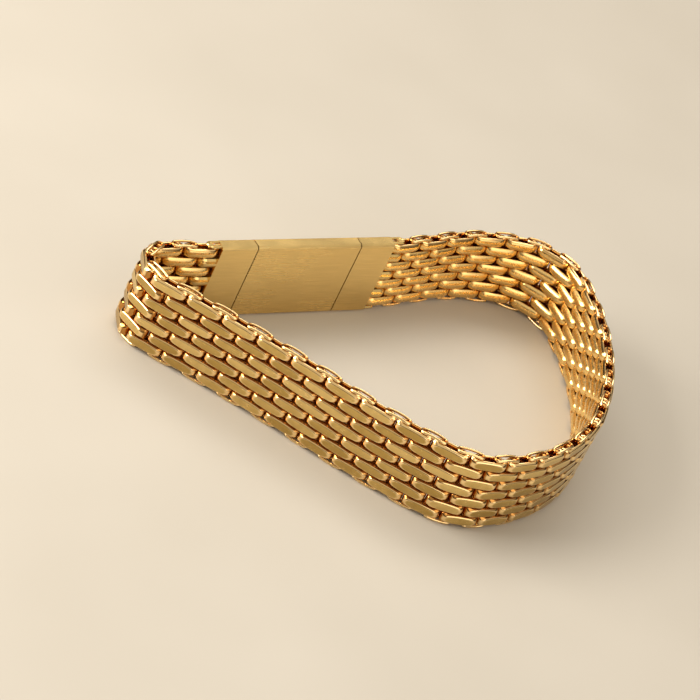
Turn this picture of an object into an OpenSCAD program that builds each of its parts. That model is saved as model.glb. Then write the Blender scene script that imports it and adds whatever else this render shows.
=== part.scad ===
// Mesh bracelet: a closed band of long ring links held by cross pins.
// Loose links and soldered frames take turns along the band, two plates end the mesh,
// and a plain clasp closes the loop. The band stands on its lower edge.
// Lengths in millimetres, angles in degrees.

/* [Band] */
// Distance from one cross pin to the next along the band
pin_pitch = 2.5; // [2.5:0.05:2.8]
// Distance from one row of links to the next across the band
row_pitch = 1.53; // [1.52:0.01:1.7]
// Rows of wide links, an odd number
row_count = 7; // [5:2:9]
// Soldered frames along the band
frame_count = 29; // [28:1:31]

/* [Links] */
// Width of a link across the band
link_width = 1.4; // [1.2:0.01:1.41]
// Radius of a link's round ends, seen from the band's edge
link_radius = 1; // [0.96:0.01:1]
// How far a link's round ends are centred beyond its pins
end_reach = 0.19; // [0:0.01:0.19]
// Radius of the hole round a pin
bore_radius = 0.45; // [0.44:0.01:0.48]
// Radius that rounds the wire from side to side
dome_radius = 0.85; // [0.75:0.01:1.2]
// Flat strips that make up the rounding
dome_strips = 5; // [3:2:7]
// Height of the polished flat above the middle of the pins
flat_height = 0.91; // [0.8:0.01:0.92]

/* [Pins and edges] */
// Radius of a cross pin
pin_radius = 0.33; // [0.28:0.01:0.34]
// Thickness of the round wire in the edge rings
edge_wire = 0.38; // [0.34:0.01:0.44]
// Gap between an edge ring and the row beside it
edge_gap = 0.12; // [0.12:0.01:0.2]
// How deep the edge rings are let into the pins
edge_bite = 0.06; // [0.04:0.01:0.1]

/* [Loop] */
// Radius of the fold at the left
fold_radius = 4.2; // [4:0.1:6]
// Radius of the near corner
near_radius = 10.5; // [8:0.5:14]
// Radius of the far corner
far_radius = 7.1; // [5:0.1:10]
// Length along the band from the first pin to the start of the fold
fold_lead = 5.8; // [3:0.1:9]

/* [Plates and clasp] */
// Pin pitches taken by the two plates and the clasp
closure_pitches = 12; // [10:1:14]
// Length of a plate
plate_length = 5.4; // [4:0.1:6]
// Bevel along the edges of the plates and the clasp
bevel = 0.3; // [0.15:0.05:0.4]
// Length of the tongue that enters the clasp
tongue_length = 2.6; // [2:0.1:3.5]
// Thickness of the tongue
tongue_thickness = 0.6; // [0.4:0.05:0.7]
// Gap left round the tongues and between the plates and the clasp
fit_gap = 0.15; // [0.12:0.01:0.2]

/* [Hidden] */
$fn = 48;

// Arcs of the loop seen from above, in order from the fold; a negative sweep bows inwards
RADIUS = 0;
SWEEP = 1;
ARCS = [
    [fold_radius, 138],
    [187, -7.5],
    [99, 9],
    [near_radius, 45],
    [28, 45.5],
    [46.5, 36],
    [far_radius, 81.5],
    [27.5, 26.5],
    [182, -14],
];
// The right side and the back, whose radii are worked out so that the loop closes
SIDE = 4;
BACK = 8;
START_HEADING = -141;

// How far the lugs run into a plate
lug_root = 0.5;
// How far a cut or a joined piece runs past the face that it meets
overrun = 1;

// Rows across the band
half_width = (row_count - 1) / 2 * row_pitch + link_width / 2 + edge_gap + edge_wire;
edge_level = half_width - edge_wire / 2;
loose_rows = [for (r = [0 : 2 : row_count - 1]) (r - (row_count - 1) / 2) * row_pitch];
frame_rows = [for (r = [1 : 2 : row_count - 2]) (r - (row_count - 1) / 2) * row_pitch];
edge_radius = pin_radius - edge_bite + edge_wire / 2;
dome_angle = asin(link_width / 2 / dome_radius);

// Loop
pin_count = 2 * frame_count + 2;
loop_length = (pin_count - 1 + closure_pitches) * pin_pitch;

function total(v, n) = n <= 0 ? 0 : v[n - 1] + total(v, n - 1);
function weighted(w, v, n) = n <= 0 ? [0, 0] : w[n - 1] * v[n - 1] + weighted(w, v, n - 1);
// Way travelled along an arc of radius 1 that starts at heading h and sweeps by w
function arc_step(h, w) = sign(w) * [sin(h + w) - sin(h), cos(h) - cos(h + w)];

sweeps = [for (a = ARCS) a[SWEEP]];
headings = [for (i = [0 : len(ARCS) - 1]) START_HEADING + total(sweeps, i)];
steps = [for (i = [0 : len(ARCS) - 1]) arc_step(headings[i], sweeps[i])];
given = [for (i = [0 : len(ARCS) - 1]) i == SIDE || i == BACK ? 0 : ARCS[i][RADIUS]];
rest = weighted(given, steps, len(ARCS));
closing = cross(steps[SIDE], steps[BACK]);
raw_radii = [
    for (i = [0 : len(ARCS) - 1])
        i == SIDE ? cross(steps[BACK], rest) / closing :
        i == BACK ? cross(rest, steps[SIDE]) / closing :
        given[i]
];
raw_lengths = [for (i = [0 : len(ARCS) - 1]) raw_radii[i] * abs(sweeps[i]) * PI / 180];
loop_scale = loop_length / total(raw_lengths, len(ARCS));
radii = loop_scale * raw_radii;
lengths = loop_scale * raw_lengths;
starts = [for (i = [0 : len(ARCS) - 1]) weighted(radii, steps, i)];
passed = [for (i = [0 : len(ARCS) - 1]) total(lengths, i)];

function wrapped(s) = s < 0 ? s + loop_length : s >= loop_length ? s - loop_length : s;
function arc_at(s, i = 0) = i == len(ARCS) - 1 || s < passed[i] + lengths[i] ? i : arc_at(s, i + 1);
function arc_point(s, i) =
    starts[i] + radii[i] * arc_step(headings[i], sign(sweeps[i]) * (s - passed[i]) / radii[i] * 180 / PI);
function loop_point(s) = arc_point(s, arc_at(s));

// Pins, moved so that the whole bracelet is centred on the origin
raw_pins = [for (i = [0 : pin_count - 1]) loop_point(wrapped(i * pin_pitch - fold_lead))];
pin_x = [for (p = raw_pins) p[0]];
pin_y = [for (p = raw_pins) p[1]];
middle = [min(pin_x) + max(pin_x), min(pin_y) + max(pin_y)] / 2;
pins = [for (p = raw_pins) p - middle];

// Closure on a straight line from the last pin back to the first
closure_length = norm(pins[0] - pins[pin_count - 1]);
plate_start = link_radius + end_reach + fit_gap;
lug_length = plate_start + lug_root;
cap_length = plate_start + plate_length;
clasp_length = closure_length - 2 * cap_length - 2 * fit_gap;

// Puts children on the line from point a to point b, centred along it and across the band
module between(a, b) {
    translate([(a[0] + b[0]) / 2, (a[1] + b[1]) / 2, half_width])
        rotate([0, 0, atan2(b[1] - a[1], b[0] - a[0])])
            children();
}

// Point on the rounding of a wide link's wire, at an angle from its crown
function dome_point(a) = [link_radius - dome_radius * (1 - cos(a)), dome_radius * sin(a)];

// Section of a wide link's wire at its distance from the pin, starting at a given radius
module wide_wire(inner) {
    polygon([
        [inner, -link_width / 2],
        for (i = [0 : dome_strips]) dome_point(dome_angle * (2 * i / dome_strips - 1)),
        [inner, link_width / 2],
    ]);
}

// Section of an edge ring's wire
module ring_wire() {
    translate([edge_radius, 0])
        rotate(22.5)
            circle(edge_wire / 2 / cos(22.5), $fn = 8);
}

// Wire bent half round a pin at the origin, open towards -x
module half_turn() {
    rotate([0, 0, -90])
        rotate_extrude(angle = 180)
            children();
}

// Straight stretch of the two wires of a ring, from x = 0 to x = length
module two_wires(length) {
    for (side = [0, 1])
        mirror([0, side, 0])
            rotate([90, 0, 90])
                linear_extrude(length)
                    children();
}

// Round end centred at x = reach, with the straight stretch that leads to it from a pin at x = start
module turned_end(start, reach) {
    translate([reach, 0, 0])
        half_turn()
            children();
    if (reach > start)
        translate([start, 0, 0])
            two_wires(reach - start)
                children();
}

// Ring round two pins: the first child is the section outside the pins, the second that between them
module ring(reach) {
    for (end = [0, 1])
        mirror([end, 0, 0])
            turned_end(pin_pitch / 2, reach)
                children(0);
    translate([-pin_pitch / 2, 0, 0])
        two_wires(pin_pitch)
            children(1);
}

// What lies below the polished flat, over a length along the band
module below_flat(length) {
    translate([-length / 2, -flat_height, -link_width])
        cube([length, flat_height + 2 * link_radius, 2 * link_width]);
}

// Wide link whose ends are hollow from a given radius: the bore, or 0 where it is soldered to its pins
module wide_link(inner) {
    intersection() {
        ring(pin_pitch / 2 + end_reach) {
            wide_wire(inner);
            wide_wire(bore_radius);
        }
        below_flat(pin_pitch + 4 * link_radius);
    }
}

module edge_ring() {
    ring(pin_pitch / 2) {
        ring_wire();
        ring_wire();
    }
}

// Half of a link or ring, from its round end past a pin at the origin to the plate at x = -length
module lug(reach, length) {
    turned_end(0, reach)
        children(0);
    translate([-length, 0, 0])
        two_wires(length)
            children(1);
}

// Cross pin that ends inside the edge rings
module pin() {
    cylinder(r = pin_radius, h = 2 * edge_level + edge_wire / 2, center = true);
}

module frame() {
    for (z = frame_rows)
        translate([0, 0, z])
            wide_link(0);
    for (z = [-edge_level, edge_level])
        translate([0, 0, z])
            edge_ring();
    for (x = [-pin_pitch / 2, pin_pitch / 2])
        translate([x, 0, 0])
            pin();
}

// Bar along x with bevelled edges, its outer face at the height of the links' flats
module bevelled_bar(length) {
    rotate([90, 0, 90])
        linear_extrude(length)
            polygon([
                [-flat_height, -half_width + bevel],
                [-flat_height, half_width - bevel],
                [-flat_height + bevel, half_width],
                [link_radius - bevel, half_width],
                [link_radius, half_width - bevel],
                [link_radius, -half_width + bevel],
                [link_radius - bevel, -half_width],
                [-flat_height + bevel, -half_width],
            ]);
}

// Plate with the last pin at the origin, its lugs towards +x and its tongue towards -x
module end_cap() {
    translate([-cap_length, 0, 0])
        bevelled_bar(plate_length);
    translate([-cap_length - tongue_length, -tongue_thickness / 2, -half_width / 2])
        cube([tongue_length + overrun, tongue_thickness, half_width]);
    for (z = frame_rows)
        translate([0, 0, z])
            intersection() {
                lug(end_reach, lug_length) {
                    wide_wire(0);
                    wide_wire(bore_radius);
                }
                below_flat(6 * link_radius);
            }
    for (z = [-edge_level, edge_level])
        translate([0, 0, z])
            lug(0, lug_length) {
                ring_wire();
                ring_wire();
            }
    pin();
}

module row_links() {
    color("#d9a84e")
        for (i = [0 : frame_count])
            between(pins[2 * i], pins[2 * i + 1])
                for (z = loose_rows)
                    translate([0, 0, z])
                        wide_link(bore_radius);
}

module link_frames() {
    color("#cf9c45")
        for (i = [0 : frame_count - 1])
            between(pins[2 * i + 1], pins[2 * i + 2])
                frame();
}

module end_cap_left() {
    color("#e0b45f")
        between(pins[pin_count - 1], pins[0])
            translate([closure_length / 2, 0, 0])
                end_cap();
}

module end_cap_right() {
    color("#e0b45f")
        between(pins[pin_count - 1], pins[0])
            mirror([1, 0, 0])
                translate([closure_length / 2, 0, 0])
                    end_cap();
}

module clasp() {
    slot_length = tongue_length + fit_gap;
    color("#d6a94f")
        between(pins[pin_count - 1], pins[0])
            difference() {
                translate([-clasp_length / 2, 0, 0])
                    bevelled_bar(clasp_length);
                for (x = [-clasp_length / 2 - overrun, clasp_length / 2 - slot_length])
                    translate([x, -tongue_thickness / 2 - fit_gap, -half_width / 2 - fit_gap])
                        cube([slot_length + overrun, tongue_thickness + 2 * fit_gap, half_width + 2 * fit_gap]);
            }
}

row_links();
link_frames();
end_cap_left();
end_cap_right();
clasp();
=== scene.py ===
import math

import bmesh
import bpy
import numpy as np
from mathutils import Matrix, Vector


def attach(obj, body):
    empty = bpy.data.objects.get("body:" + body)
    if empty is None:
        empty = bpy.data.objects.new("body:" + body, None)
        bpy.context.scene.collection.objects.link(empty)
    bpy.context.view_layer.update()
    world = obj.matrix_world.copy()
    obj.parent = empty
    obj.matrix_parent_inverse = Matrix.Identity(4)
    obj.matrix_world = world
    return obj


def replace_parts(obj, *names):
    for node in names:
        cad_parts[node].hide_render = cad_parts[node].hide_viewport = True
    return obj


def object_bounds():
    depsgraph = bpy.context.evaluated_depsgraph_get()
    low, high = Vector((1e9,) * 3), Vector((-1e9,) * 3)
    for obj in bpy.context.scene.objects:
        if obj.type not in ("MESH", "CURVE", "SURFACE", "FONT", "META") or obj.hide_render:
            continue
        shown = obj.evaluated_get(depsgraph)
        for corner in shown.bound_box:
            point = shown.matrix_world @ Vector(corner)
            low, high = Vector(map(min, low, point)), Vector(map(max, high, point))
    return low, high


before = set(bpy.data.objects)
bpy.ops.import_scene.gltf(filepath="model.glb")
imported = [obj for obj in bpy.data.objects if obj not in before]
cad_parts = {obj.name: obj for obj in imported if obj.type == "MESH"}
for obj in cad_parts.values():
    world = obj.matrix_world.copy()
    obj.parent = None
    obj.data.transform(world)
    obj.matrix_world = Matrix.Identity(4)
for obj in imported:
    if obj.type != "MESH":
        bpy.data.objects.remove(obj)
CAD_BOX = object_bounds()

MM = 0.001
RNG = np.random.default_rng(27)

# Sizes of the band as in its source, in millimetres
PIN_PITCH = 2.5
ROW_PITCH = 1.53
ROW_COUNT = 7
FRAME_COUNT = 29
LINK_WIDTH = 1.4
LINK_RADIUS = 1.0
END_REACH = 0.19
BORE_RADIUS = 0.45
DOME_RADIUS = 0.85
FLAT_HEIGHT = 0.91
PIN_RADIUS = 0.33
EDGE_WIRE = 0.38
EDGE_GAP = 0.12
EDGE_BITE = 0.06
HALF_WIDTH = (ROW_COUNT - 1) / 2 * ROW_PITCH + LINK_WIDTH / 2 + EDGE_GAP + EDGE_WIRE

# Plan of the loop as in its source: arcs with a radius in millimetres and a sweep in degrees.
# The two radii that are None, of the right side and of the back, are worked out so that the loop closes.
FOLD_LEAD = 5.8
CLOSURE_PITCHES = 12
START_HEADING = -141.0
ARCS = [
    (4.2, 138), (187, -7.5), (99, 9), (10.5, 45), (None, 45.5),
    (46.5, 36), (7.1, 81.5), (27.5, 26.5), (None, -14),
]

# Finer shape of a wide link, in millimetres: its bore, its crown and the shoulders beside its flat
BORE_EASE = 0.07
CROWN_FALL = 0.28
SHOULDER_START = 0.45
SHOULDER_FALL = 0.24
SHOULDER_POWER = 2.2
TIP_FALL = 0.1
TIP_POWER = 4
# The section changes from shouldered to domed over these depths of the direction that it faces,
# and to the full section of the tips over these lengths
SIDE_TURN = (-0.5, 0.4)
TIP_TURN = (0.75, 0.95)
# Squared outer corners, which begin outside the bore, and the fall towards the ends
CORNER_POWER = 3.0
CORNER_START = 0.05
CORNER_SPAN = 0.1
ARCH = 0.05
# Oval outline seen from outside, a weaker one seen from the wrist, and the heights where they set in
OVAL_REACH = 2.56
OVAL_POWER = 3.2
OVAL_FROM = (0.45, 0.7)
WRIST_TAPER = 0.8
TAPER_FROM = (0.6, 0.85)
# Longer tips, and where they set in past the centre of the turn
TIP_REACH = 0.055
TIP_FROM = (0.75, 0.9)
# Crown of the flat: its fall at the half width, the share of it at one reach along the link, the
# reaches after which it falls no further, and the softness of the flat's edge
FLAT_CROWN = 0.015
FLAT_HALF_WIDTH = 0.5
FLAT_LENGTHWISE = 0.5
FLAT_END = 1.3
FLAT_EASE = 0.012
# Most links lean by no more than twice this angle, in radians
LEAN = 0.012

# Finer shape of an edge ring, whose wire is thinned where it bows out, and of the pins inside it
EDGE_DRAWN_WIRE = 0.36
EDGE_BOW = 0.16
BOW_FROM = (0.3, 1.9)
EDGE_LEVEL = HALF_WIDTH - EDGE_DRAWN_WIRE / 2
EDGE_RADIUS = PIN_RADIUS - EDGE_BITE + EDGE_WIRE / 2
# The pins stop short of the middle of the rings' wire by this share of its bow
PIN_SHORT = 0.8
PIN_TIP = EDGE_LEVEL - PIN_SHORT * EDGE_BOW
# Radius of a pin's end and its fall, from the middle outwards
PIN_END = [(0.0, 0.0), (0.22, 0.01), (0.3, 0.05), (PIN_RADIUS, 0.12)]

# Colours of the gold. The gaps are painted with shade, which is lighter in their depth as a painted
# reflection of gold in gold.
RIM = (1.0, 0.72, 0.35)
WRIST_SIDE = (0.97, 0.67, 0.26)
SHEET = (0.88, 0.63, 0.25)
SHEET_DEEP = tuple(0.88 * c for c in SHEET)
GAP_WALL_SHADE = (0.36, 0.16, 0.035)
GAP_DEEP_SHADE = tuple(1.5 * c for c in GAP_WALL_SHADE)
# The flats' tones vary at random from link to link, and are darker overall than the rims as painted shade
# for the darker surroundings that the flats mirror
FLAT_TONES = [(0.25, (0.50, 0.33, 0.10)), (0.5, (0.61, 0.42, 0.14)), (0.75, (0.78, 0.56, 0.22))]

# Places in a link where its colour and finish change, in millimetres: the height from rim to flat, the
# depth of the wrist side and the distance along the link of the tips, which get less painted shade
FLAT_EDGE = (FLAT_HEIGHT - 0.03, FLAT_HEIGHT - 0.014)
WRIST_EDGE = (0.3, 0.5)
TIP_EDGE = (2.0, 2.35)
# Heights over the pins' middle above which no shade is painted and below which the painted shade is full,
# how strong the painted shade is at most, and how far below it the gaps have their deepest painted colour
LINK_SHADE_HEIGHTS = (0.855, 0.75)
EDGE_SHADE_HEIGHTS = (0.42, 0.26)
SHADE_STRENGTH = 0.95
SHADE_DEPTH = 0.14
# Tips and wrist side count as this much higher, so that less shade is painted on them
TIP_SHADE_LIFT = 0.2
WRIST_SHADE_LIFT = 0.24
# Most values of a noise texture lie between these two
NOISE_SPAN = (0.3, 0.7)


# The loop that the band follows
def arc_step(heading, sweep):
    """Way along an arc of radius 1 that starts at a heading and sweeps by an angle, in degrees"""
    start, end = math.radians(heading), math.radians(heading + sweep)
    way = np.array([math.sin(end) - math.sin(start), math.cos(start) - math.cos(end)])
    return math.copysign(1, sweep) * way


def pin_places():
    """Plan position of every pin, centred on the origin, in millimetres"""
    arcs = range(len(ARCS))
    sweeps = [sweep for _, sweep in ARCS]
    headings = [START_HEADING + sum(sweeps[:arc]) for arc in arcs]
    steps = [arc_step(heading, sweep) for heading, sweep in zip(headings, sweeps)]
    radii = [radius or 0.0 for radius, _ in ARCS]
    side, back = [arc for arc in arcs if not radii[arc]]
    rest = sum(radius * step for radius, step in zip(radii, steps))
    radii[side], radii[back] = np.linalg.solve(np.array([steps[side], steps[back]]).T, -rest)
    lengths = [radius * abs(math.radians(sweep)) for radius, sweep in zip(radii, sweeps)]
    pin_count = 2 * FRAME_COUNT + 2
    loop_length = (pin_count - 1 + CLOSURE_PITCHES) * PIN_PITCH
    scale = loop_length / sum(lengths)
    radii = [scale * radius for radius in radii]
    lengths = [scale * length for length in lengths]
    starts = [sum((radii[i] * steps[i] for i in range(arc)), np.zeros(2)) for arc in arcs]
    passed = [sum(lengths[:arc]) for arc in arcs]
    places = []
    for pin in range(pin_count):
        distance = (pin * PIN_PITCH - FOLD_LEAD) % loop_length
        arc = max(i for i in arcs if passed[i] <= distance)
        sweep = math.copysign(math.degrees((distance - passed[arc]) / radii[arc]), sweeps[arc])
        places.append(starts[arc] + radii[arc] * arc_step(headings[arc], sweep))
    places = np.array(places)
    return places - (places.min(axis=0) + places.max(axis=0)) / 2


def between(start, end):
    """Matrix that puts a piece on the line between plan points at the band's mid-height, in millimetres"""
    way, middle = end - start, (start + end) / 2
    turn = Matrix.Rotation(math.atan2(way[1], way[0]), 4, "Z")
    return Matrix.Translation((middle[0], middle[1], HALF_WIDTH)) @ turn


# Templates of the small pieces, in millimetres about their own middle: x along the band,
# y from the outer face to the wrist, z across the band
def eased(value, start, end):
    """Smooth step from 0 at the start to 1 at the end"""
    share = np.clip((value - start) / (end - start), 0, 1)
    return share * share * (3 - 2 * share)


def swept_ring(section_at, reach, turn_steps=12, straight_steps=6):
    """Closed ring of wire swept round two turns whose centres are at plus and minus the reach

    section_at gives the section that faces a direction of (length, depth), as points of
    (distance from the turn's centre, place across). A depth of -1 is the outer face.
    """
    stations = []
    for end in (1, -1):
        for i in range(turn_steps + 1):
            angle = -math.pi / 2 + math.pi * i / turn_steps
            stations.append((end * reach, end * math.cos(angle), end * math.sin(angle)))
        for i in range(1, straight_steps):
            stations.append((end * reach * (1 - 2 * i / straight_steps), 0.0, end * 1.0))
    points = []
    for centre, length, depth in stations:
        section = section_at(abs(length), depth)
        points += [(centre + distance * length, distance * depth, z) for distance, z in section]
    n, m = len(section), len(stations)
    faces = [
        [i * n + j, i * n + (j + 1) % n, ((i + 1) % m) * n + (j + 1) % n, ((i + 1) % m) * n + j]
        for i in range(m)
        for j in range(n)
    ]
    return np.array(points), faces


def crown_height(z, length, depth):
    """Crown of the half-round wire: shouldered on the outer face, domed to the wrist, full at the tips"""
    half = LINK_WIDTH / 2
    beyond = max(0.0, abs(z) - SHOULDER_START) / (half - SHOULDER_START)
    shouldered = LINK_RADIUS - CROWN_FALL * z**2 - SHOULDER_FALL * beyond**SHOULDER_POWER
    domed = LINK_RADIUS - DOME_RADIUS + math.sqrt(DOME_RADIUS**2 - z**2)
    full = LINK_RADIUS - TIP_FALL * (z / half) ** TIP_POWER
    side = shouldered + (domed - shouldered) * eased(depth, *SIDE_TURN)
    return side + (full - side) * eased(length, *TIP_TURN)


def wide_section(length, depth, crown_steps=16):
    """Half-round wire: a flat bore side with eased corners and a crown"""
    half = LINK_WIDTH / 2
    across = [half * math.sin(math.pi * (i / crown_steps - 0.5)) for i in range(crown_steps + 1)]
    return (
        [(BORE_RADIUS, -half + BORE_EASE), (BORE_RADIUS + BORE_EASE, -half)]
        + [(crown_height(z, length, depth), z) for z in across]
        + [(BORE_RADIUS + BORE_EASE, half), (BORE_RADIUS, half - BORE_EASE)]
    )


def round_section(length, depth, steps=10):
    """Round wire of an edge ring, the same whichever way it faces"""
    wire = EDGE_DRAWN_WIRE / 2
    angles = [2 * math.pi * i / steps for i in range(steps)]
    return [(EDGE_RADIUS + wire * math.cos(angle), wire * math.sin(angle)) for angle in angles]


def squared_corners(points, reach):
    """Square up the outer corners where the wire turns, but not round the bore

    Returns how far each point was past the centre of its turn.
    """
    x, y = np.abs(points[:, 0]) - reach, points[:, 1]
    radius = np.maximum(np.hypot(x, y), 1e-6)
    outside_bore = np.clip((radius - BORE_RADIUS - CORNER_START) / CORNER_SPAN, 0, 1) * (x > 0) * (y < 0)
    power = np.abs(x / radius) ** CORNER_POWER + np.abs(y / radius) ** CORNER_POWER
    growth = outside_bore * (power ** (-1 / CORNER_POWER) - 1)
    points[:, 0] += np.sign(points[:, 0]) * x * growth
    points[:, 1] *= 1 + growth
    return x


def wide_link():
    """Link with a polished flat that is oval from outside, whose ends fall back a little"""
    reach = PIN_PITCH / 2 + END_REACH
    points, faces = swept_ring(wide_section, reach)
    past_centre = squared_corners(points, reach)
    points[:, 1] *= 1 - ARCH * np.clip(np.abs(points[:, 0]) / reach, 0, 1) ** 2
    oval = (1 - (np.abs(points[:, 0]) / OVAL_REACH) ** OVAL_POWER) ** (1 / OVAL_POWER)
    taper = eased(-points[:, 1], *OVAL_FROM) + WRIST_TAPER * eased(points[:, 1], *TAPER_FROM)
    points[:, 2] *= 1 + (oval - 1) * taper
    points[:, 0] += np.sign(points[:, 0]) * TIP_REACH * eased(past_centre, *TIP_FROM)
    along = np.clip(points[:, 0] / reach, -FLAT_END, FLAT_END)
    across = points[:, 2] / FLAT_HALF_WIDTH
    below_flat = FLAT_HEIGHT - FLAT_CROWN * (FLAT_LENGTHWISE * along**2 + across**2) + points[:, 1]
    points[:, 1] += FLAT_EASE * np.logaddexp(0, below_flat / FLAT_EASE) - below_flat
    return points, faces


def edge_ring():
    """Ring of round wire whose middle bows away from the band"""
    points, faces = swept_ring(round_section, PIN_PITCH / 2)
    points[:, 2] -= EDGE_BOW * eased(np.abs(points[:, 0]), *BOW_FROM)
    return points, faces


def turned_pin(steps=14):
    """Pin with eased ends, turned about the z axis"""
    upper = [(radius, PIN_TIP - fall) for radius, fall in PIN_END]
    profile = upper + [(radius, -z) for radius, z in reversed(upper)]
    angles = [2 * math.pi * i / steps for i in range(steps)]
    points, faces, rings = [], [], []
    for radius, z in profile:
        count = steps if radius else 1
        rings.append([len(points) + i for i in range(count)])
        points += [(radius * math.cos(angle), radius * math.sin(angle), z) for angle in angles[:count]]
    for above, below in zip(rings, rings[1:]):
        for i in range(steps):
            j = (i + 1) % steps
            if len(above) == 1:
                faces.append([above[0], below[j], below[i]])
            elif len(below) == 1:
                faces.append([above[i], above[j], below[0]])
            else:
                faces.append([above[i], above[j], below[j], below[i]])
    return np.array(points), faces


class Batch:
    """Gathers placed copies of templates into one mesh

    Each point keeps a tone, which is random from copy to copy, and its place in the template.
    """

    # An open side starts this far across the template, and counts as this depth, which gets no painted
    # shade
    OPEN_FROM = 0.5
    UNSHADED_DEPTH = -0.85

    def __init__(self):
        self.points, self.faces, self.tones, self.places = [], [], [], []
        self.count = 0

    def add(self, template, matrix, lean=0.0, flip=False, open_side=0):
        """Place a copy; an open side of 1 or -1 keeps the side at +z or -z free of painted shade"""
        points, faces = template
        placing = np.array(matrix)
        if lean:
            turns = [Matrix.Rotation(RNG.normal(0, lean), 4, axis) for axis in ("X", "Z")]
            placing = placing @ np.array(turns[0] @ turns[1])
        self.points.append((points @ placing[:3, :3].T + placing[:3, 3]) * MM)
        self.faces += [[i + self.count for i in (face[::-1] if flip else face)] for face in faces]
        self.tones.append(np.full(len(points), RNG.random()))
        place = points.copy()
        place[points[:, 2] * open_side > self.OPEN_FROM, 1] = self.UNSHADED_DEPTH
        self.places.append(place)
        self.count += len(points)

    def build(self, name, material, slot):
        """One mesh object of all copies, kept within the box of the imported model"""
        low, high = (np.array(list(corner)) for corner in CAD_BOX)
        mesh = bpy.data.meshes.new(name)
        mesh.from_pydata(np.clip(np.concatenate(self.points), low, high).tolist(), [], self.faces)
        tone = mesh.attributes.new("tone", "FLOAT", "POINT")
        tone.data.foreach_set("value", np.concatenate(self.tones).astype(np.float32))
        place = mesh.attributes.new("place", "FLOAT_VECTOR", "POINT")
        place.data.foreach_set("vector", np.concatenate(self.places).astype(np.float32).ravel())
        mesh.shade_smooth()
        mesh.update()
        mesh.materials.append(material)
        obj = bpy.data.objects.new(name, mesh)
        bpy.context.scene.collection.objects.link(obj)
        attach(obj, "root")
        return obj


# Materials
class Graph:
    """Adds and joins the nodes of a material or a world"""

    # Places of the colours among the sockets of a Mix node
    MIX_COLORS = slice(6, 8)
    MIX_RESULT = 2

    def __init__(self, tree):
        self.tree = tree

    def node(self, kind, **settings):
        """New node with its settings"""
        new = self.tree.nodes.new(kind)
        for key, value in settings.items():
            setattr(new, key, value)
        return new

    def put(self, value, socket):
        """Join an output to a socket, or set the socket to a plain value"""
        if hasattr(value, "links"):
            self.tree.links.new(value, socket)
        else:
            socket.default_value = value

    def coordinates(self, kind):
        """Texture coordinates of a kind"""
        return self.node("ShaderNodeTexCoord").outputs[kind]

    def attribute(self, name, output):
        """Attribute that the mesh stores at its points"""
        return self.node("ShaderNodeAttribute", attribute_name=name).outputs[output]

    def split(self, vector):
        """The three parts of a vector"""
        new = self.node("ShaderNodeSeparateXYZ")
        self.put(vector, new.inputs[0])
        return new.outputs

    def vector(self, x, y, z):
        """Vector of three parts"""
        new = self.node("ShaderNodeCombineXYZ")
        for value, socket in zip((x, y, z), new.inputs):
            self.put(value, socket)
        return new.outputs[0]

    def stretched(self, vector, scale):
        """Vector with each of its parts scaled"""
        new = self.node("ShaderNodeMapping")
        new.inputs["Scale"].default_value = scale
        self.put(vector, new.inputs["Vector"])
        return new.outputs[0]

    def maths(self, operation, a, b=0.0):
        """Result of an operation on outputs or plain numbers"""
        new = self.node("ShaderNodeMath", operation=operation)
        for value, socket in zip((a, b), new.inputs):
            self.put(value, socket)
        return new.outputs[0]

    def plus(self, a, b):
        """Sum of two values"""
        return self.maths("ADD", a, b)

    def times(self, a, b):
        """Product of two values"""
        return self.maths("MULTIPLY", a, b)

    def blend(self, a, b, share):
        """Value between a and b, by the share of b"""
        return self.plus(self.times(a, 1 - share), self.times(b, share))

    def spread(self, source, span, result=(0.0, 1.0)):
        """Value that runs through the result while the source runs through the span"""
        new = self.node("ShaderNodeMapRange")
        for key, value in zip(("From Min", "From Max", "To Min", "To Max"), (*span, *result)):
            new.inputs[key].default_value = value
        self.put(source, new.inputs["Value"])
        return new.outputs[0]

    def ramp(self, source, stops):
        """Colour that follows the source through stops of (position, colour)"""
        new = self.node("ShaderNodeValToRGB")
        elements = new.color_ramp.elements
        while len(elements) < len(stops):
            elements.new(0.5)
        for element, (position, color) in zip(elements, stops):
            element.position = position
            element.color = (*color, 1)
        self.put(source, new.inputs[0])
        return new.outputs[0]

    def mix(self, factor, a, b):
        """Colour between a and b, which are outputs or plain colours"""
        new = self.node("ShaderNodeMix", data_type="RGBA")
        self.put(factor, new.inputs[0])
        for value, socket in zip((a, b), new.inputs[self.MIX_COLORS]):
            self.put((*value, 1) if isinstance(value, tuple) else value, socket)
        return new.outputs[self.MIX_RESULT]

    def noise(self, vector, scale, detail):
        """Noise texture"""
        new = self.node("ShaderNodeTexNoise")
        new.inputs["Scale"].default_value = scale
        new.inputs["Detail"].default_value = detail
        self.put(vector, new.inputs["Vector"])
        return new.outputs["Fac"]


def new_material(name):
    """Empty material with its graph and its Principled shader"""
    material = bpy.data.materials.new(name)
    material.use_nodes = True
    return material, Graph(material.node_tree), material.node_tree.nodes["Principled BSDF"]


def gold_surface(graph, shader, color, roughness, relief, strength, distance):
    """Metal with a bump from the relief, whose height is the distance in metres"""
    shader.inputs["Metallic"].default_value = 1.0
    graph.put(color, shader.inputs["Base Color"])
    graph.put(roughness, shader.inputs["Roughness"])
    bump = graph.node("ShaderNodeBump")
    bump.inputs["Strength"].default_value = strength
    bump.inputs["Distance"].default_value = distance
    graph.put(relief, bump.inputs["Height"])
    graph.put(bump.outputs[0], shader.inputs["Normal"])


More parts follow.
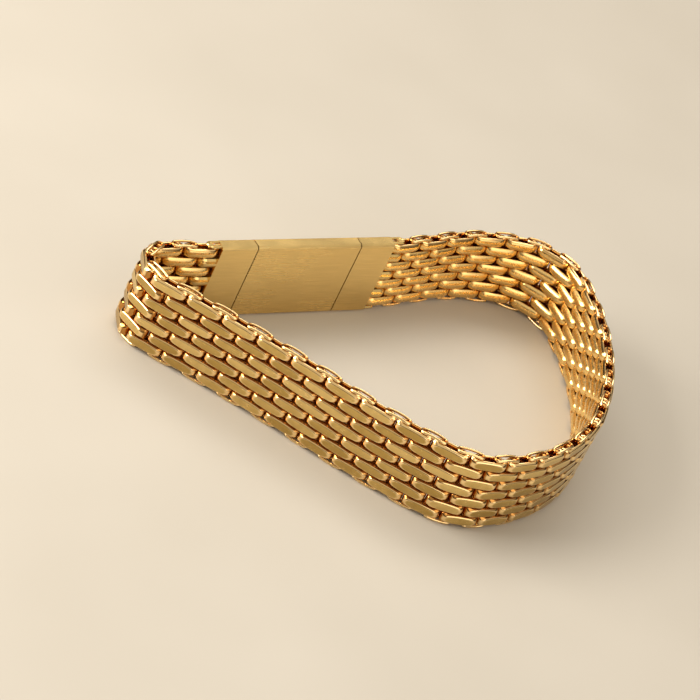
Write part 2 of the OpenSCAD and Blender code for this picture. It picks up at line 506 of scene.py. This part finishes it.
def linked_gold(name, wrist_color, shade_heights):
    """Gold of the mesh: satin flats that vary from link to link and get painted shade that makes them
    darker than the polished rims, and painted shade in the gaps

    The shade heights are the height above which no shade is painted and the one below which the painted
    shade is full.
    """
    material, graph, shader = new_material(name)
    cloudy = graph.noise(graph.coordinates("Object"), scale=900, detail=3)
    tone = graph.attribute("tone", "Fac")
    x, y, z = graph.split(graph.attribute("place", "Vector"))
    flat = graph.spread(graph.times(y, -1.0), FLAT_EDGE)
    wrist_side = graph.spread(y, WRIST_EDGE)
    tip = graph.spread(graph.maths("ABSOLUTE", x), TIP_EDGE)

    # Flat colour: random from link to link, and painted darker than the rims as shade
    flat_color = graph.ramp(graph.blend(cloudy, tone, share=0.55), FLAT_TONES)
    color = graph.mix(wrist_side, graph.mix(flat, RIM, flat_color), wrist_color)
    # Painted shade: below the shade heights the colour turns to the gap colours, with less of it on the
    # tips and the wrist side
    shade_lift = graph.plus(graph.times(tip, TIP_SHADE_LIFT), graph.times(wrist_side, WRIST_SHADE_LIFT))
    height = graph.plus(graph.maths("ABSOLUTE", y), shade_lift)
    deep = graph.spread(height, (shade_heights[1], shade_heights[1] - SHADE_DEPTH))
    gap_shade = graph.ramp(deep, [(0.0, GAP_WALL_SHADE), (1.0, GAP_DEEP_SHADE)])
    color = graph.mix(graph.spread(height, shade_heights, (0.0, SHADE_STRENGTH)), color, gap_shade)

    # The grain is drawn out along a link and differs from link to link
    grain_place = graph.vector(graph.times(x, 0.7), graph.times(tone, 40.0), graph.times(z, 8.0))
    grain = graph.noise(grain_place, scale=1.6, detail=4)
    polish = graph.spread(cloudy, NOISE_SPAN, (0.06, 0.12))
    satin = graph.times(flat, graph.spread(grain, NOISE_SPAN, (0.06, 0.18)))
    roughness = graph.plus(graph.plus(polish, satin), graph.times(wrist_side, 0.18))
    relief = graph.times(flat, grain)
    gold_surface(graph, shader, color, roughness, relief, strength=0.18, distance=0.00001)
    return material


def sheet_gold(name, roughness):
    """Polished sheet gold with faint clouding, slight waves and a fine grain along the band"""
    material, graph, shader = new_material(name)
    place = graph.coordinates("Object")
    cloudy = graph.noise(place, scale=130, detail=3)
    grain = graph.noise(graph.stretched(place, (0.05, 0.05, 1.0)), scale=5000, detail=4)
    color = graph.ramp(graph.blend(cloudy, grain, share=0.6), [(0.4, SHEET_DEEP), (0.6, SHEET)])
    clouded = graph.spread(cloudy, NOISE_SPAN, (0.85 * roughness, 1.15 * roughness))
    brushed = graph.plus(clouded, graph.times(grain, 0.12))
    waves = graph.plus(graph.noise(place, scale=110, detail=1), graph.times(grain, 0.011))
    gold_surface(graph, shader, color, brushed, waves, strength=1.0, distance=0.00025)
    return material


# The bracelet
def lay_band():
    """Loose links, soldered links, edge rings and pins along the loop, in place of the plain solids"""
    # Painted shade darkens the gaps of these golds
    link_gold = linked_gold("link_gold_with_painted_shade", WRIST_SIDE, LINK_SHADE_HEIGHTS)
    frame_gold = linked_gold("frame_gold_with_painted_shade", WRIST_SIDE, LINK_SHADE_HEIGHTS)
    edge_gold = linked_gold("edge_gold_with_painted_shade", RIM, EDGE_SHADE_HEIGHTS)
    link, ring, pin = wide_link(), edge_ring(), turned_pin()
    places = pin_places()
    rows = [(row - (ROW_COUNT - 1) / 2) * ROW_PITCH for row in range(ROW_COUNT)]

    loose = Batch()
    for i in range(FRAME_COUNT + 1):
        at = between(places[2 * i], places[2 * i + 1])
        for z in rows[0::2]:
            # The outer sides of the outermost rows get no painted shade
            open_side = (z == rows[-1]) - (z == rows[0])
            loose.add(link, at @ Matrix.Translation((0, 0, z)), LEAN, open_side=open_side)
    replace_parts(loose.build("row_ring_links", link_gold, "link_gold"), "row_links")

    soldered, edges, pins = Batch(), Batch(), Batch()
    for i in range(FRAME_COUNT):
        at = between(places[2 * i + 1], places[2 * i + 2])
        for z in rows[1::2]:
            soldered.add(link, at @ Matrix.Translation((0, 0, z)), LEAN)
        for side in (-1, 1):
            turned = Matrix.Translation((0, 0, side * EDGE_LEVEL)) @ Matrix.Scale(side, 4, (0, 0, 1))
            edges.add(ring, at @ turned, flip=side < 0)
        for x in (-PIN_PITCH / 2, PIN_PITCH / 2):
            pins.add(pin, at @ Matrix.Translation((x, 0, 0)))
    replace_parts(soldered.build("frame_links", frame_gold, "frame_gold"), "link_frames")
    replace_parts(edges.build("edge_rings", edge_gold, "frame_gold"), "link_frames")
    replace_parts(pins.build("cross_pins", edge_gold, "frame_gold"), "link_frames")


def dress_closure():
    """Sheet gold on the two plates and the clasp"""
    plate_gold = sheet_gold("plate_gold", roughness=0.16)
    clasp_gold = sheet_gold("clasp_gold", roughness=0.2)
    finishes = {"end_cap_left": plate_gold, "end_cap_right": plate_gold, "clasp": clasp_gold}
    for name, material in finishes.items():
        for slot in bpy.data.objects[name].material_slots:
            slot.material = material


# Floor, light and camera
def lay_floor():
    """Plain pale floor with faint clouding"""
    material, graph, shader = new_material("pale_floor")
    shader.inputs["Roughness"].default_value = 0.7
    cloudy = graph.noise(graph.coordinates("Object"), scale=30, detail=2)
    color = graph.ramp(cloudy, [(0.3, (0.48, 0.44, 0.375)), (0.7, (0.51, 0.47, 0.405))])
    graph.put(color, shader.inputs["Base Color"])
    grid = bmesh.new()
    bmesh.ops.create_grid(grid, x_segments=2, y_segments=2, size=1.5)
    mesh = bpy.data.meshes.new("floor")
    grid.to_mesh(mesh)
    grid.free()
    mesh.materials.append(material)
    floor = bpy.data.objects.new("floor", mesh)
    bpy.context.scene.collection.objects.link(floor)


def area_light(name, place, size, power, color):
    """Rectangular light that faces the bracelet"""
    data = bpy.data.lights.new(name, "AREA")
    data.shape = "RECTANGLE"
    data.size, data.size_y = size
    data.energy = power
    data.color = color
    light = bpy.data.objects.new(name, data)
    light.location = place
    light.rotation_euler = (-Vector(place)).to_track_quat("-Z", "Y").to_euler()
    bpy.context.scene.collection.objects.link(light)


def light_studio():
    """Low warm light from the left, soft fill from the right and from behind, and a pale sky"""
    area_light("key", (-0.336, -0.114, 0.186), size=(0.3, 0.216), power=2.1, color=(1.0, 0.96, 0.90))
    area_light("fill", (0.45, -0.40, 0.42), size=(0.7, 0.7), power=1.9, color=(1.0, 0.93, 0.84))
    area_light("back", (-0.16, 0.36, 0.60), size=(0.9, 0.3), power=3.0, color=(1.0, 0.95, 0.88))
    bpy.context.scene.view_settings.view_transform = "Standard"
    world = bpy.data.worlds.new("studio")
    bpy.context.scene.world = world
    world.use_nodes = True
    graph, background = Graph(world.node_tree), world.node_tree.nodes["Background"]
    rise = graph.split(graph.coordinates("Generated"))["Z"]
    sky = graph.ramp(rise, [(0.3, (0.10, 0.085, 0.07)), (0.62, (0.82, 0.74, 0.62))])
    graph.put(sky, background.inputs["Color"])
    background.inputs["Strength"].default_value = 0.8


def place_camera():
    """Camera from a fit of the loop to the photograph, in millimetres, degrees and pixels"""
    elevation, roll = math.radians(33.665), math.radians(26.707)
    distance, aside, lift = 406.7, -2.338, -5.360
    focal_pixels, photo_pixels, sensor = 3131.0, 700, 36
    forward = Vector((0, math.cos(elevation), -math.sin(elevation)))
    level_right = Vector((1, 0, 0))
    level_up = Vector((0, math.sin(elevation), math.cos(elevation)))
    right = math.cos(roll) * level_right + math.sin(roll) * level_up
    up = -math.sin(roll) * level_right + math.cos(roll) * level_up
    place = -forward * distance + level_right * aside + level_up * lift + Vector((0, 0, HALF_WIDTH))
    data = bpy.data.cameras.new("camera")
    data.sensor_width = sensor
    data.lens = sensor * focal_pixels / photo_pixels
    data.clip_start = 0.01
    camera = bpy.data.objects.new("camera", data)
    columns = (right, up, -forward, place * MM)
    camera.matrix_world = Matrix([[column[row] for column in columns] for row in range(3)] + [[0, 0, 0, 1]])
    bpy.context.scene.collection.objects.link(camera)
    bpy.context.scene.camera = camera


lay_band()
dress_closure()
lay_floor()
light_studio()
place_camera()
